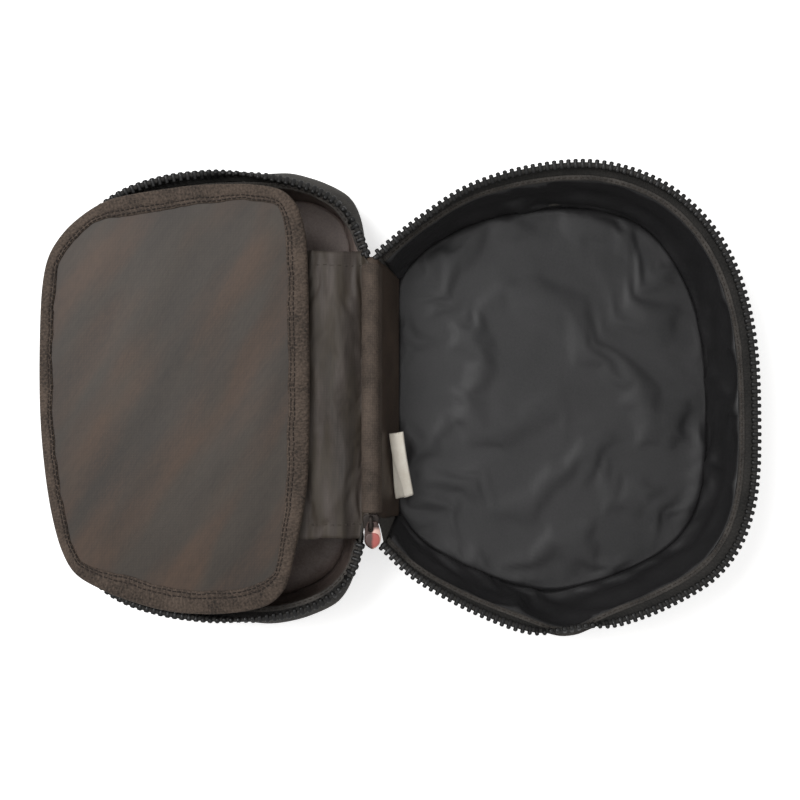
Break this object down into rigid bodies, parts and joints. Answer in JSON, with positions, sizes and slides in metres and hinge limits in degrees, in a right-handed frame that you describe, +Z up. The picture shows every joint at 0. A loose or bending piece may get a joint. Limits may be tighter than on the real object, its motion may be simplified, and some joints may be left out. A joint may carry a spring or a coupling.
{
  "type": "pencil case",
  "caption": "Zip-round fabric pencil case lying open like a book: a deep lined tray, a hinged second tray and a padded page that turns between them.",
  "frame": {"origin": "centre of the open case's outline, on the surface that both halves lie on", "axes": "+X from the spine towards the deep half, +Y along the spine towards the end without the zip slider, +Z up"},
  "size_m": [0.3588, 0.2379, 0.0525],
  "materials": {
    "outer_fabric": "woven polyester, matte",
    "lining_fabric": "thin coated lining, satin, wrinkled",
    "stiffener": "plain board",
    "zip_tape": "woven tape, matte",
    "zip_teeth": "moulded acetal",
    "page_fabric": "coated nylon, satin",
    "binding_tape": "woven binding, fuzzy",
    "hinge_fabric": "coated nylon, soft folds",
    "slider_metal": "gunmetal",
    "pull_enamel": "pink-red enamel",
    "label": "white satin ribbon, bare"
  },
  "bodies": {
    "main_half": {"main_base_panel": "outer_fabric", "main_base_piping": "binding_tape", "main_base_board": "stiffener", "main_base_lining": "lining_fabric", "main_gusset": "outer_fabric", "main_wall_lining": "lining_fabric", "main_rim_fold": "hinge_fabric", "main_spine_wall": "outer_fabric", "main_spine_lining": "lining_fabric", "main_zip_tape": "zip_tape", "main_zip_chain": "zip_teeth", "main_end_stop": "zip_teeth", "spine_fold": "hinge_fabric", "label_tag": "label"},
    "cover_half": {"cover_base_panel": "outer_fabric", "cover_base_piping": "binding_tape", "cover_base_board": "stiffener", "cover_base_lining": "lining_fabric", "cover_gusset": "outer_fabric", "cover_wall_lining": "lining_fabric", "cover_rim_fold": "hinge_fabric", "cover_spine_wall": "outer_fabric", "cover_spine_lining": "lining_fabric", "cover_zip_tape": "zip_tape", "cover_zip_chain": "zip_teeth", "cover_end_stop": "zip_teeth"},
    "page": {"page_binding": "binding_tape", "page_back": "page_fabric", "page_board": "stiffener", "page_front": "page_fabric", "page_hinge_strip": "hinge_fabric"},
    "slider": {"zip_slider": "slider_metal"},
    "pull": {"pull_tab": "pull_enamel"}
  },
  "joints": [
    {"name": "cover_hinge", "type": "hinge", "parent": "main_half", "child": "cover_half", "pos_m": [-0.0145, 0, 0.05], "axis": [0, 1, 0], "range_deg": [0, 180]},
    {"name": "page_hinge", "type": "hinge", "parent": "cover_half", "child": "page", "pos_m": [-0.0145, 0, 0.05], "axis": [0, 1, 0], "range_deg": [0, 180]},
    {"name": "slider_travel", "type": "slide", "parent": "main_half", "child": "slider", "axis": [0, -1, 0], "range_m": [0, 0.005]},
    {"name": "pull_swing", "type": "hinge", "parent": "slider", "child": "pull", "pos_m": [-0.0145, -0.0608, 0.049], "axis": [-1, 0, 0], "range_deg": [0, 100]}
  ]
}
